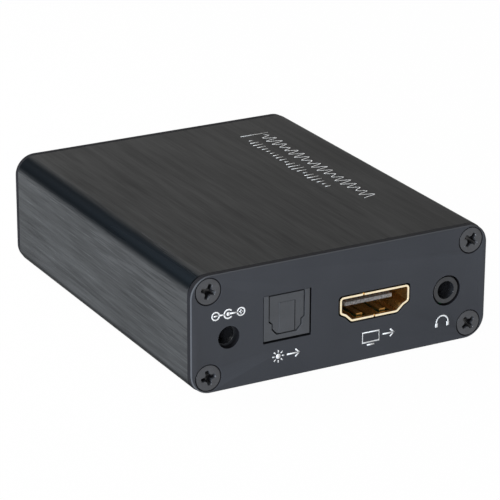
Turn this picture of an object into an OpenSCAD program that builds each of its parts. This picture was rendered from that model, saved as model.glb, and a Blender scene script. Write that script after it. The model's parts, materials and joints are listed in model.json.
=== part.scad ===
// Audio extractor in an extruded aluminium sleeve, in millimetres.
// X runs along the two panels, Y from the port panel to the input panel, and Z is up.
// The origin is under the middle of the case, on the surface that it stands on.
// Each socket is modelled in its panel's own frame: X to the right as that panel is seen,
// Y inward from the panel's outer face, and Z up from the top of the circuit board.

/* [Case] */
// Width of the case
case_w = 63.2; // [62:0.1:75]
// Height of the case
case_h = 23; // [22.4:0.1:30]
// Depth over both panels
case_d = 77.2; // [70:0.1:100]
// Radius of the sleeve's long edges
corner_r = 3.75; // [3:0.05:4.4]
// Wall of the sleeve
wall = 1.6; // [1.2:0.05:2]
// Thickness of each panel
panel_t = 1.3; // [1.2:0.05:2]
// Radius of a panel's corners
panel_r = 4.1; // [3.8:0.1:4.6]
// Bevel round a panel's outer face
bevel = 0.25; // [0.1:0.05:0.35]
// Seam between a panel and the sleeve
seam = 0.1; // [0:0.01:0.2]

/* [Circuit board] */
// Height of the board's top above the base
board_top = 7.7; // [7.2:0.1:8.5]
// Thickness of the board
board_t = 1.6; // [1:0.1:2]
// Clearance between the board and its grooves
groove_gap = 0.08; // [0.03:0.01:0.15]
// Clearance between the board and the walls and panels
board_gap = 0.2; // [0.1:0.05:0.4]
// Thickness of the sleeve's rails
rail_t = 1; // [0.8:0.1:1.4]
// Reach of the rails from the wall
rail_reach = 1.5; // [1:0.1:2]
// Clearance round each leg that passes through the board
hole_gap = 0.12; // [0.05:0.01:0.2]
// Reach of the legs below the board
leg_out = 0.7; // [0.3:0.1:1]

/* [Screws] */
// Distance of the screws in from the sides
screw_side = 3.6; // [3.4:0.1:4.2]
// Distance of the screws in from the base and the top
screw_base = 3.07; // [2.9:0.01:3.6]
// Radius of the screw heads
head_r = 2.6; // [2.4:0.05:2.65]
// Radius of the screw shanks
shank_r = 1.5; // [1.2:0.05:1.6]
// Length of the screws
screw_len = 8; // [6:0.5:12]
// Clearance round the heads
head_gap = 0.15; // [0.1:0.01:0.2]
// Clearance round the shanks
shank_gap = 0.05; // [0.03:0.01:0.1]
// Radius of the sleeve's screw channels
channel_r = 2.6; // [2.3:0.1:2.8]
// Length of each wing of the cross recess
cross_reach = 1.45; // [1.2:0.05:1.6]
// Width of the wings of the cross recess
cross_w = 0.55; // [0.4:0.05:0.7]
// Depth of the cross recess
cross_depth = 1; // [0.7:0.1:1.2]

/* [Video sockets] */
// Place of the output socket along the port panel, as a share of the case's width
video_out_share = 0.1108; // [0.09:0.0001:0.13]
// Place of the input socket along the input panel, as a share of the case's width
video_in_share = -0.095; // [-0.15:0.001:-0.04]
// Height of both sockets' middle above the board
video_rise = 3.26; // [3:0.01:3.6]
// Width of a socket
socket_w = 15; // [14.5:0.1:15.5]
// Height of a socket
socket_h = 5.15; // [4.9:0.05:5.4]
// Height of the straight sides of a socket
side_h = 3.3; // [3:0.05:3.5]
// Width of the shelf below each side
shelf_in = 1.2; // [1:0.05:1.4]
// Drop of that shelf
shelf_drop = 0.6; // [0.4:0.05:0.7]
// Width of the slope below the shelf
slope_in = 1.3; // [1.1:0.05:1.5]
// Radius of the socket's bends
ring_r = 0.75; // [0.6:0.05:0.85]
// Thickness of the socket's sheet
shell_t = 0.38; // [0.3:0.01:0.45]
// Length of the shell
shell_len = 12.2; // [11.5:0.1:14]
// Gap between the shell and the panel
shell_gap = 0.3; // [0.2:0.05:0.35]
// Width of the tongue
tongue_w = 10.2; // [9.8:0.05:10.4]
// Thickness of the tongue
tongue_t = 0.7; // [0.65:0.05:0.9]
// Height of the tongue's middle above the socket's middle
tongue_up = 0.05; // [0:0.05:0.4]
// Setback of the tongue behind the socket's mouth
tongue_back = 2.3; // [1.5:0.1:3]
// Pitch of the contacts in each row
contact_pitch = 1; // [0.9:0.01:1.02]
// Number of contacts in the upper row
upper_contacts = 10; // [8:1:10]

/* [Optical port] */
// Place of the optical port along the port panel, as a share of the case's width
optical_share = -0.1862; // [-0.2:0.0001:-0.17]
// Width of the housing
optical_w = 9.6; // [9.4:0.02:10.2]
// Height of the housing's front
optical_h = 9.07; // [8.8:0.01:9.3]
// Length of the housing
optical_len = 14.2; // [13.6:0.1:16]
// Width of the opening
mouth_w = 7.6; // [7.2:0.02:7.6]
// Gap between the housing and the panel
port_gap = 0.25; // [0.15:0.01:0.3]
// Gap above the housing
port_top_gap = 0.05; // [0.03:0.01:0.2]
// Offset of the panel's hole to the right of the housing
port_shift = 0.1; // [0:0.01:0.12]
// Wall below the opening
mouth_floor = 1.15; // [0.9:0.01:1.3]
// Height of the opening's straight sides
mouth_side = 5.25; // [4.8:0.05:5.4]
// Width of the key step in each side
key_in = 0.65; // [0.4:0.05:0.7]
// Height of the key step
key_h = 1.05; // [0.7:0.05:1.2]
// Drop of the shoulder above the key step
key_drop = 0.5; // [0.3:0.05:0.6]
// Width of the lower corners' slopes
mouth_slope = 1; // [0.9:0.05:1.3]
// Thickness of the shutter
shutter_t = 1; // [0.8:0.05:1.1]
// Setback of the shutter behind the housing's face
shutter_back = 0.1; // [0.1:0.05:0.4]
// Gap round the shutter
shutter_gap = 0.24; // [0.14:0.01:0.24]
// Height of the pad on the shutter
pad_t = 0.1; // [0.05:0.01:0.1]
// Radius of the shutter's hinge pins
hinge_r = 0.45; // [0.4:0.01:0.48]
// Clearance round the hinge pins
hinge_gap = 0.05; // [0.03:0.01:0.08]
// Distance of the hinge below the top of the shutter
hinge_drop = 0.6; // [0.55:0.01:0.65]
// Radius of the hole that guides the fibre plug's tip
ferrule_r = 1.3; // [1.2:0.05:1.5]

/* [Power inlet] */
// Distance of the power inlet in from the left side
power_side = 7.8; // [7.4:0.1:9]
// Height of its middle above the board
power_rise = 2.6; // [2.5:0.05:2.8]
// Radius of the hole in the panel
power_hole_r = 2.2; // [2:0.05:2.5]
// Width of the jack
power_w = 5.6; // [5.2:0.1:6]
// Length of the jack
power_len = 11; // [10:0.1:14]
// Radius of the jack's bore
power_bore_r = 1.85; // [1.75:0.05:2]
// Depth of the jack's bore
power_depth = 8.6; // [8:0.1:9]
// Radius of the centre pin
power_pin_r = 0.65; // [0.5:0.05:0.8]
// Setback of the pin behind the jack's face
power_pin_back = 2.5; // [2:0.1:3]

/* [Audio jack] */
// Distance of the audio jack in from the right side
audio_side = 8.75; // [8.4:0.05:9.6]
// Height of its middle above the board
audio_rise = 2.97; // [2.9:0.01:3.2]
// Radius of the hole in the panel
audio_hole_r = 3.05; // [2.9:0.05:3.3]
// Radius of the jack's nose
nose_r = 2.65; // [2.4:0.05:2.8]
// Setback of the nose behind the panel's face
nose_back = 0.3; // [0.2:0.05:0.5]
// Radius of the jack's bore
audio_bore_r = 1.8; // [1.78:0.01:1.85]
// Length of the smooth bore
audio_guide = 3; // [2.5:0.1:4]
// Width of the jack
audio_w = 6; // [5.8:0.1:6.4]
// Length of the jack behind the panel
audio_len = 11.6; // [11:0.1:13]

/* [Input panel controls] */
// Place of the mode switch along the input panel, as a share of the case's width
switch_share = 0.2563; // [0.24:0.0001:0.28]
// Travel of the switch to each side of its middle
switch_travel = 2; // [1.5:0.1:2.2]
// Width of the switch
switch_w = 11.4; // [11:0.1:12.4]
// Height of the switch
switch_h = 4.6; // [4.2:0.1:5]
// Width of the switch's knob
knob_w = 2; // [1.6:0.1:2.4]
// Height of the switch's knob
knob_h = 1.9; // [1.5:0.1:2]
// Setback of the knob's tip behind the panel's face
knob_back = 0.4; // [0.2:0.1:0.6]
// Running clearance of the switch's slide
slide_gap = 0.08; // [0.05:0.01:0.12]
// Place of the lamp along the input panel, as a share of the case's width
lamp_share = 0.0854; // [0.08:0.0001:0.1]
// Radius of the lamp
lamp_r = 1; // [0.8:0.05:1.2]
// Gap between the lamp and the panel
lamp_gap = 0.15; // [0.1:0.05:0.2]

/* [Inner parts] */
// Side of the video chip
video_chip_w = 12; // [9:0.5:13]
// Length of the audio chip
audio_chip_len = 8.6; // [7:0.1:10]
// Radius of the filter capacitors
can_r = 2.5; // [2:0.1:3]
// Height of the filter capacitors
can_h = 5.4; // [4:0.1:6]
// Side of the power inductor
coil_w = 5; // [4:0.1:6]
// Length of the crystal
crystal_len = 7.6; // [6:0.1:9]

/* [Hidden] */
$fn = 48;
arc_steps = 4;
over = 0.5;                // overrun of every cut
inner_w = case_w - 2 * wall;
sleeve_y = panel_t + seam;  // start of the sleeve behind a panel's face
board_y = sleeve_y + board_gap;
board_w = inner_w - 2 * board_gap;
screw_x = case_w / 2 - screw_side;
video_out_x = video_out_share * case_w;
video_in_x = video_in_share * case_w;
optical_x = optical_share * case_w;
power_x = power_side - case_w / 2;
audio_x = case_w / 2 - audio_side;
switch_x = switch_share * case_w;
lamp_x = lamp_share * case_w;

// Geometry helpers

function unit(v) = v / norm(v);
function left_of(v) = unit([-v[1], v[0]]);
function after(i, p) = p[(i + 1) % len(p)];
function before(i, p) = p[(i + len(p) - 1) % len(p)];

// The outline p, counter-clockwise, moved inward by d
function inset(p, d) = [for (i = [0 : len(p) - 1])
    let (a = left_of(p[i] - before(i, p)), b = left_of(after(i, p) - p[i]))
    p[i] + d * (a + b) / (1 + a * b)];

// An arc of radius r in place of the corner p between o and q
function bend(o, p, q, r) = let (
    a = unit(o - p),
    b = unit(q - p),
    half = acos(a * b) / 2,
    c = p + unit(a + b) * r / sin(half),
    s = p + a * r / tan(half) - c,
    e = p + b * r / tan(half) - c,
    from = atan2(s[1], s[0]),
    turn = atan2(s[0] * e[1] - s[1] * e[0], s * e))
    [for (k = [0 : arc_steps])
        c + r * [cos(from + turn * k / arc_steps), sin(from + turn * k / arc_steps)]];

function rounded(p, r) = [for (i = [0 : len(p) - 1]) each bend(before(i, p), p[i], after(i, p), r)];

// Profiles drawn in X and Z, extruded along +Y
module extrude_y(len) translate([0, len, 0]) rotate([90, 0, 0]) linear_extrude(len) children();

// Profiles drawn in Y and Z, extruded along X about the middle
module extrude_x(len) translate([-len / 2, 0, 0]) rotate([90, 0, 90]) linear_extrude(len) children();

// A round rod along +Y from y
module rod(y, len, r) translate([0, y, 0]) rotate([-90, 0, 0]) cylinder(h = len, r = r);

// A block centred on X, from y and z upward
module block(w, y, len, z, h) translate([-w / 2, y, z]) cube([w, len, h]);

module rounded_rect(w, h, r) {
    square([w - 2 * r, h], center = true);
    square([w, h - 2 * r], center = true);
    for (x = [-1, 1], z = [-1, 1])
        translate([x * (w / 2 - r), z * (h / 2 - r)]) circle(r);
}

// Frames of the two panels, with Z from the board's top
module at_port(x) translate([x, -case_d / 2, board_top]) children();
module at_input(x) rotate([0, 0, 180]) at_port(x) children();

// The four screws' places on a panel, with Z from the base
module at_screws() for (x = [-1, 1], z = [screw_base, case_h - screw_base])
    translate([x * screw_x, 0, z]) children();

// Sleeve and panels

module sleeve_profile() difference() {
    union() {
        difference() {
            rounded_rect(case_w, case_h, corner_r);
            rounded_rect(inner_w, case_h - 2 * wall, corner_r - wall);
        }
        for (x = [-1, 1], z = [-1, 1])
            translate([x * screw_x, z * (case_h / 2 - screw_base)]) circle(channel_r);
        for (x = [-1, 1], z = [board_top + groove_gap, board_top - board_t - groove_gap - rail_t])
            translate([x * (inner_w - rail_reach) / 2 - rail_reach / 2, z - case_h / 2])
                square([rail_reach, rail_t]);
    }
    for (x = [-1, 1], z = [-1, 1])
        translate([x * screw_x, z * (case_h / 2 - screw_base)]) circle(shank_r + shank_gap);
}

module sleeve() color([0.1, 0.1, 0.11])
    translate([0, -case_d / 2 + sleeve_y, case_h / 2])
        extrude_y(case_d - 2 * sleeve_y) sleeve_profile();

// A rounded plate from y = 0, bevelled round its outer face
module end_plate() {
    translate([0, 0, case_h / 2]) {
        translate([0, bevel, 0]) extrude_y(panel_t - bevel) rounded_rect(case_w, case_h, panel_r);
        for (x = [-1, 1], z = [-1, 1])
            translate([x * (case_w / 2 - panel_r), 0, z * (case_h / 2 - panel_r)])
                rotate([-90, 0, 0]) cylinder(h = bevel, r1 = panel_r - bevel, r2 = panel_r);
        extrude_x(case_w - 2 * panel_r) polygon([[0, -case_h / 2 + bevel],
            [bevel, -case_h / 2], [bevel, case_h / 2], [0, case_h / 2 - bevel]]);
        translate([0, 0, -case_h / 2 + panel_r]) linear_extrude(case_h - 2 * panel_r)
            polygon([[-case_w / 2 + bevel, 0], [case_w / 2 - bevel, 0],
                [case_w / 2, bevel], [-case_w / 2, bevel]]);
    }
}

// A panel with its four countersunk holes, less its children
module panel() difference() {
    translate([0, 0, -board_top]) difference() {
        end_plate();
        at_screws() {
            rod(-over, panel_t + 2 * over, shank_r + shank_gap);
            rotate([-90, 0, 0])
                cylinder(h = head_r - shank_r, r1 = head_r + head_gap, r2 = shank_r + head_gap);
        }
    }
    children();
}

module port_panel() color([0.27, 0.28, 0.3]) at_port(0) panel() {
    video_cut(video_out_x);
    block_cut(optical_x + port_shift, optical_w + 2 * port_gap, -port_gap,
        optical_h + port_gap + port_top_gap);
    translate([power_x, 0, power_rise]) rod(-over, panel_t + 2 * over, power_hole_r);
    translate([audio_x, 0, audio_rise]) rod(-over, panel_t + 2 * over, audio_hole_r);
}

module input_panel() color([0.27, 0.28, 0.3]) at_input(0) panel() {
    video_cut(video_in_x);
    block_cut(switch_x, knob_slot_w, switch_rise - knob_slot_h / 2, knob_slot_h);
    translate([lamp_x, 0, lamp_rise]) rod(-over, panel_t + 2 * over, lamp_r + lamp_gap);
}

module block_cut(x, w, z, h) translate([x, 0, 0]) block(w, -over, panel_t + 2 * over, z, h);

module video_cut(x) translate([x, -over, video_rise])
    extrude_y(panel_t + 2 * over) polygon(rounded(inset(socket_outline, -shell_gap), ring_r));

// A countersunk screw with a cross recess turned by the given angle
head_sink = 0.04;          // setback of the heads behind the panel's face
module screw(turn) difference() {
    union() {
        translate([0, head_sink, 0]) rotate([-90, 0, 0])
            cylinder(h = head_r - shank_r, r1 = head_r, r2 = shank_r);
        rod(head_sink, screw_len, shank_r);
    }
    rotate([0, turn, 0]) for (a = [0, 90]) rotate([0, a, 0])
        block(2 * cross_reach, -over, cross_depth + over, -cross_w / 2, cross_w);
}

port_turns = [12, 38, 71, 55];
input_turns = [33, 80, 5, 47];
module screws(turns) translate([0, 0, -board_top]) for (i = [0 : 3])
    translate([(i % 2 * 2 - 1) * screw_x, 0, i < 2 ? screw_base : case_h - screw_base])
        screw(turns[i]);

module port_panel_screws() color([0.06, 0.06, 0.07]) at_port(0) screws(port_turns);
module input_panel_screws() color([0.06, 0.06, 0.07]) at_input(0) screws(input_turns);

// Circuit board, with a hole for each leg that passes through it

module circuit_board() color([0.05, 0.25, 0.13]) difference() {
    translate([-board_w / 2, -case_d / 2 + board_y, board_top - board_t])
        cube([board_w, case_d - 2 * board_y, board_t]);
    at_port(video_out_x) shell_legs(hole_gap);
    at_input(video_in_x) shell_legs(hole_gap);
    at_port(optical_x) {
        optical_pegs(hole_gap);
        emitter_leads(hole_gap);
    }
    at_port(power_x) power_blades(hole_gap);
    at_port(audio_x) audio_blades(hole_gap);
    at_input(switch_x) {
        frame_legs(hole_gap);
        switch_pins(hole_gap);
    }
}

// A flat leg through the board, grown by g on each side
module leg(w, len, g) translate([-w / 2 - g, -len / 2 - g, -board_t - leg_out])
    cube([w + 2 * g, len + 2 * g, board_t + leg_out + (g > 0 ? over : 0)]);

// Video sockets

socket_outline = [[socket_w / 2, socket_h / 2], [-socket_w / 2, socket_h / 2],
    [-socket_w / 2, socket_h / 2 - side_h],
    [-socket_w / 2 + shelf_in, socket_h / 2 - side_h - shelf_drop],
    [-socket_w / 2 + shelf_in + slope_in, -socket_h / 2],
    [socket_w / 2 - shelf_in - slope_in, -socket_h / 2],
    [socket_w / 2 - shelf_in, socket_h / 2 - side_h - shelf_drop],
    [socket_w / 2, socket_h / 2 - side_h]];
shell_leg_w = 1.5;         // width of the shell's legs
shell_leg_y = [4, shell_len - shell_leg_w];
tab_w = 1.3;               // width of a spring tab
tab_len = 5.5;             // length of a spring tab
tab_y = 1.4;               // place of the tabs' tips behind the mouth
tab_slot = 0.6;            // slot round a tab
tab_x_share = 0.167;       // place of the tabs, as a share of the socket's width
tab_slope = 3.5;           // inward slope of the tabs, in degrees
notch_w = 0.35;            // seam notches in the rim, one below and one above
notch_depth = 0.3;
notch_share = -0.16;       // place of the upper notch, as a share of the socket's width

module shell_legs(g) for (x = [-1, 1], y = shell_leg_y)
    translate([x * (socket_w - shell_t) / 2, y, 0]) leg(shell_t, shell_leg_w, g);

// One sloped spring tab over a window, for the socket's top wall
module tab_window() block(tab_w + 2 * tab_slot, tab_y - tab_slot, tab_len + tab_slot,
    -shell_t - over, shell_t + 2 * over);
module tab() translate([0, tab_y + tab_len, -shell_t / 2]) rotate([tab_slope, 0, 0])
    block(tab_w, -tab_len, tab_len + shell_t, -shell_t / 2, shell_t);

// The places of the four tabs: two in the top wall, two turned over in the bottom wall
module at_tabs() for (x = [-1, 1], turn = [0, 180])
    translate([x * tab_x_share * socket_w, 0, 0]) rotate([0, turn, 0])
        translate([0, 0, socket_h / 2]) children();

module shell() {
    translate([0, 0, video_rise]) {
        difference() {
            extrude_y(shell_len) difference() {
                polygon(rounded(socket_outline, ring_r));
                polygon(rounded(inset(socket_outline, shell_t), ring_r - shell_t));
            }
            at_tabs() tab_window();
            block(notch_w, -over, notch_depth + over, -socket_h, socket_h);
            translate([notch_share * socket_w, 0, 0])
                block(notch_w, -over, notch_depth + over, 0, socket_h);
        }
        at_tabs() tab();
    }
    for (x = [-1, 1], y = shell_leg_y)
        translate([x * (socket_w - shell_t) / 2, y, 0]) {
            leg(shell_t, shell_leg_w, 0);
            translate([-shell_t / 2, -shell_leg_w / 2, 0])
                cube([shell_t, shell_leg_w, video_rise + socket_h / 2 - side_h + ring_r]);
        }
}

module video_out_shell() color([0.85, 0.72, 0.42]) at_port(video_out_x) shell();
module video_in_shell() color([0.85, 0.72, 0.42]) at_input(video_in_x) shell();

contact_w = 0.3;           // width of a contact
contact_t = 0.12;          // thickness of a contact
contact_back = 0.6;        // setback of the contacts from the tongue's tip
contact_foot = 0.8;        // foot of a contact on the board
plug_y = 9.4;              // start of the block that fills the shell
heel_len = 1.6;            // block behind the shell, down to the board
heel_y = shell_len + heel_len;
insert_gap = 0.08;         // clearance between the insert and the shell
tongue_z = video_rise + tongue_up;

// One bent contact, with its strip's middle at height z
module contact(z) {
    block(contact_w, tongue_back + contact_back,
        heel_y - tongue_back - contact_back + contact_t, z - contact_t / 2, contact_t);
    block(contact_w, heel_y, contact_t, 0, z);
    block(contact_w, heel_y, contact_foot, 0, contact_t);
}

// Both rows, the lower one half a pitch aside with one contact less
module contacts() for (row = [0, 1], i = [0 : upper_contacts - 1 - row])
    translate([(i - (upper_contacts - 1 - row) / 2) * contact_pitch, 0, 0])
        contact(tongue_z + (1 - 2 * row) * (tongue_t - contact_t) / 2);

module insert() difference() {
    union() {
        block(tongue_w, tongue_back, plug_y - tongue_back + over, tongue_z - tongue_t / 2, tongue_t);
        translate([0, plug_y, video_rise]) extrude_y(shell_len - plug_y)
            polygon(rounded(inset(socket_outline, shell_t + insert_gap),
                ring_r - shell_t - insert_gap));
        block(socket_w - 2 * shelf_in, shell_len, heel_len, 0, video_rise + socket_h / 2);
    }
    contacts();
}

module video_out_insert() color([0.35, 0.35, 0.37]) at_port(video_out_x) insert();
module video_in_insert() color([0.35, 0.35, 0.37]) at_input(video_in_x) insert();
module video_out_contacts() color([0.9, 0.75, 0.4]) at_port(video_out_x) contacts();
module video_in_contacts() color([0.9, 0.75, 0.4]) at_input(video_in_x) contacts();

// Optical port, with an inward-swinging shutter hinged along its top

mouth_h = optical_h - mouth_floor;
mouth_x = mouth_w / 2;
key_z = optical_h - mouth_side - key_drop;
mouth_outline = [[mouth_x, optical_h], [-mouth_x, optical_h], [-mouth_x, optical_h - mouth_side],
    [-mouth_x + key_in, key_z], [-mouth_x + key_in, key_z - key_h],
    [-mouth_x + key_in + mouth_slope, mouth_floor],
    [mouth_x - key_in - mouth_slope, mouth_floor],
    [mouth_x - key_in, key_z - key_h], [mouth_x - key_in, key_z],
    [mouth_x, optical_h - mouth_side]];
roof_t = 0.45;             // rise of the housing behind the panel above its front
front_foot = 0.2;          // rise of the housing's front above the board
hinge_y = 0.8;             // distance of the hinge behind the housing's face
hinge_z = optical_h - shutter_gap - hinge_drop;
hinge_len = 0.75;          // length of each hinge pin
cavity_len = 9.2;          // depth of the shutter's chamber
web_t = 1.1;               // wall between the chamber and the emitter
collar_t = 0.6;            // wall of the collar round the fibre hole
collar_len = 0.7;          // reach of that collar into the chamber
fibre_z = optical_h / 2 - mouth_floor / 2;
peg_r = 0.7;               // radius of the locating pegs
peg_x = 3.2;
peg_y = 4.5;
emitter_w = 6;             // width of the emitter
emitter_h = 6.4;           // height of the emitter
emitter_t = 2.6;           // thickness of the emitter
lens_r = 1.1;              // radius of its lens
lead_w = 0.45;             // side of its leads
lead_pitch = 1.6;
emitter_y = cavity_len + web_t;

module optical_pegs(g) for (x = [-1, 1]) translate([x * peg_x, peg_y, -board_t - leg_out])
    cylinder(h = board_t + leg_out + (g > 0 ? over : 0), r = peg_r + g);

module optical_housing() color([0.3, 0.31, 0.33]) at_port(optical_x) {
    difference() {
        union() {
            block(optical_w, 0, board_y, front_foot, optical_h - front_foot);
            block(optical_w, board_y, optical_len - board_y, 0, optical_h + roof_t);
        }
        translate([0, -over, 0]) extrude_y(cavity_len + over) polygon(mouth_outline);
        block(mouth_w, -over, board_y + over, hinge_z, optical_h);
        translate([0, 0, fibre_z]) rod(cavity_len - over, web_t + 2 * over, ferrule_r);
        block(emitter_w + 2 * hole_gap, emitter_y, optical_len - emitter_y + over,
            fibre_z - emitter_h / 2 - hole_gap, emitter_h + 2 * hole_gap);
        block(2 * lead_pitch + lead_w + 2 * hole_gap, emitter_y, optical_len - emitter_y + over,
            -over, fibre_z + over);
        translate([-mouth_x - hinge_len - hinge_gap, hinge_y, hinge_z]) rotate([0, 90, 0])
            cylinder(h = mouth_w + 2 * hinge_len + 2 * hinge_gap, r = hinge_r + hinge_gap);
        block(spring_w + 2 * hole_gap, spring_y, spring_foot + over, optical_h - over,
            spring_t + over);
    }
    difference() {
        translate([0, 0, fibre_z]) rod(cavity_len - collar_len, collar_len, ferrule_r + collar_t);
        translate([0, 0, fibre_z]) rod(cavity_len - collar_len - over, collar_len + 2 * over, ferrule_r);
    }
    optical_pegs(0);
}

pad_w_share = 0.42;        // width of the shutter's pad, as a share of the opening's
pad_top_share = 0.22;      // start of the pad, as a share of the opening's height

module optical_shutter() color([0.32, 0.33, 0.35]) at_port(optical_x) {
    translate([0, shutter_back, 0]) extrude_y(shutter_t) polygon(inset(mouth_outline, shutter_gap));
    block(pad_w_share * mouth_w, shutter_back - pad_t, pad_t, mouth_floor + shutter_gap,
        (1 - pad_top_share) * mouth_h - shutter_gap);
    translate([-mouth_x - hinge_len, hinge_y, hinge_z]) rotate([0, 90, 0])
        cylinder(h = mouth_w + 2 * hinge_len, r = hinge_r);
}

spring_w = 2.4;            // width of the leaf spring
spring_t = 0.15;           // thickness of the leaf spring
spring_foot = 2;           // length of its foot under the housing's roof
spring_y = 4.5;            // start of that foot
spring_tip = 1.6;          // depth of the spring's tip below the roof

// A leaf fixed under the housing's roof that presses on the back of the shutter
module shutter_spring() color([0.7, 0.7, 0.72]) at_port(optical_x) {
    tip_y = shutter_back + shutter_t + shutter_gap;
    extrude_x(spring_w) polygon([
        [spring_y + spring_foot, optical_h], [spring_y, optical_h],
        [tip_y, optical_h - spring_tip], [tip_y, optical_h - spring_tip - spring_t],
        [tip_y + spring_t, optical_h - spring_tip - spring_t],
        [spring_y + spring_t, optical_h - spring_t], [spring_y + spring_foot, optical_h - spring_t]]);
}

module emitter_leads(g) for (i = [-1 : 1])
    translate([i * lead_pitch, emitter_y + emitter_t / 2, 0]) leg(lead_w, lead_w, g);

module optical_emitter() color([0.75, 0.75, 0.78]) at_port(optical_x) {
    block(emitter_w, emitter_y, emitter_t, fibre_z - emitter_h / 2, emitter_h);
    translate([0, 0, fibre_z]) rod(emitter_y - lens_r / 2, lens_r, lens_r);
    emitter_leads(0);
    for (i = [-1 : 1]) translate([i * lead_pitch, 0, 0])
        block(lead_w, emitter_y + (emitter_t - lead_w) / 2, lead_w, 0, fibre_z - emitter_h / 2);
}

// Power inlet

power_h = 2 * power_rise;
power_y = board_y;
power_end = power_y + power_len;
blade_w = 1.4;             // width of the jacks' flat legs
blade_t = 0.3;             // thickness of the jacks' flat legs
pin_tip = 0.2;             // bevel of the pin's tip
pin_shoulder = 0.2;        // step round the pin inside the jack's end wall
spring_rise = 0.35;        // room below the power jack's contact spring
power_spring_z = power_rise - power_bore_r;

module power_blades(g) {
    translate([0, power_end + blade_t / 2, 0]) leg(blade_w, blade_t, g);
    translate([0, power_end - power_len / 2, 0]) leg(blade_w, blade_t, g);
}

module power_jack_body() color([0.05, 0.05, 0.06]) at_port(power_x) difference() {
    block(power_w, power_y, power_len, 0, power_h);
    translate([0, 0, power_rise]) {
        rod(power_y - over, power_depth + over, power_bore_r);
        rod(power_y, power_len + over, power_pin_r + pin_shoulder);
    }
    block(blade_w + 2 * hole_gap, power_y + power_pin_back, power_depth - power_pin_back,
        power_spring_z - spring_rise - blade_t, spring_rise + blade_t + over);
    translate([0, power_end - power_len / 2, 0])
        block(blade_w + 2 * hole_gap, -blade_t / 2 - hole_gap, blade_t + 2 * hole_gap,
            -over, power_spring_z + over);
}

// The pin, its flange behind the jack and its leg
module power_jack_pin() color([0.8, 0.8, 0.78]) at_port(power_x) {
    translate([0, 0, power_rise]) {
        translate([0, power_y + power_pin_back, 0]) rotate([-90, 0, 0])
            cylinder(h = pin_tip, r1 = power_pin_r - pin_tip, r2 = power_pin_r);
        rod(power_y + power_pin_back + pin_tip,
            power_len - power_pin_back - pin_tip + blade_t / 2, power_pin_r);
        rod(power_y + power_depth, power_len - power_depth, power_pin_r + pin_shoulder);
    }
    block(blade_w, power_end, blade_t, 0, power_rise + power_pin_r);
    translate([0, power_end + blade_t / 2, 0]) leg(blade_w, blade_t, 0);
}

// A leaf along the floor of the bore, with its leg through the jack's floor
module power_jack_spring() color([0.8, 0.7, 0.45]) at_port(power_x) {
    block(blade_w, power_y + power_pin_back + hole_gap, power_depth - power_pin_back - 2 * hole_gap,
        power_spring_z - spring_rise - blade_t, blade_t);
    translate([0, power_end - power_len / 2, 0]) {
        block(blade_w, -blade_t / 2, blade_t, 0, power_spring_z - spring_rise);
        leg(blade_w, blade_t, 0);
    }
}

// Audio jack

audio_y = board_y;         // start of the jack's body behind the panel
audio_end = audio_y + audio_len;
audio_roof_t = 1.2;        // wall above the jack's bore
audio_h = audio_rise + audio_bore_r + audio_roof_t;
audio_end_t = 1.6;         // wall at the bore's end
audio_relief = 0.25;       // step of the bore behind its smooth length
audio_slot_h = 1.6;        // height of the slots for the contacts
audio_contact_y = nose_back + audio_guide + 1.2;
audio_contact_len = 5;
bump_y_share = 0.25;       // place of each contact's bump, as a share of its length
side_skin = 0.25;          // plastic outside the contacts
audio_contact_x = (audio_w - blade_t) / 2 - side_skin;
tip_bump = 0.7;            // reach of each contact's bump toward the bore

// One contact on each side of the bore: side, start
audio_contact_places = [[-1, audio_contact_y],
    [1, audio_contact_y + bump_y_share * audio_contact_len]];

module audio_blades(g) for (p = audio_contact_places)
    translate([p[0] * audio_contact_x, p[1] + audio_contact_len, 0]) leg(blade_t, blade_w, g);

module audio_jack_body() color([0.05, 0.05, 0.06]) at_port(audio_x) difference() {
    union() {
        block(audio_w, audio_y, audio_len, 0, audio_h);
        translate([0, 0, audio_rise]) rod(nose_back, audio_y - nose_back + over, nose_r);
    }
    translate([0, 0, audio_rise]) {
        rod(nose_back - over, audio_guide + over, audio_bore_r);
        rod(nose_back + audio_guide, audio_end - nose_back - audio_guide - audio_end_t,
            audio_bore_r + audio_relief);
    }
    for (p = audio_contact_places)
        translate([p[0] * audio_contact_x, p[1] - hole_gap, 0]) {
            block(blade_t + 2 * hole_gap, 0, audio_contact_len + blade_w + 2 * hole_gap,
                audio_rise - audio_slot_h / 2 - hole_gap, audio_slot_h + 2 * hole_gap);
            translate([-p[0] * audio_contact_x / 2, 0, 0])
                block(audio_contact_x, 0, audio_contact_len / 2,
                    audio_rise - audio_slot_h / 2 - hole_gap, audio_slot_h + 2 * hole_gap);
            block(blade_t + 2 * hole_gap, audio_contact_len - blade_w / 2,
                blade_w + 2 * hole_gap, -over, audio_rise + over);
        }
}

// A strip beside the bore with a bump that reaches into it, and a leg
module audio_jack_contacts() color([0.85, 0.85, 0.83]) at_port(audio_x)
    for (p = audio_contact_places) translate([p[0] * audio_contact_x, p[1], 0]) {
        block(blade_t, 0, audio_contact_len + blade_w / 2, audio_rise - audio_slot_h / 2, audio_slot_h);
        translate([0, bump_y_share * audio_contact_len, audio_rise - audio_slot_h / 2])
            linear_extrude(audio_slot_h) polygon([[-p[0] * blade_t / 2, tip_bump],
                [-p[0] * blade_t / 2, -tip_bump], [-p[0] * (blade_t / 2 + tip_bump), 0]]);
        translate([0, audio_contact_len, 0]) {
            block(blade_t, -blade_w / 2, blade_w, 0, audio_rise);
            leg(blade_t, blade_w, 0);
        }
    }

// Mode switch, three places, and lamp, both behind the input panel

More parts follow.
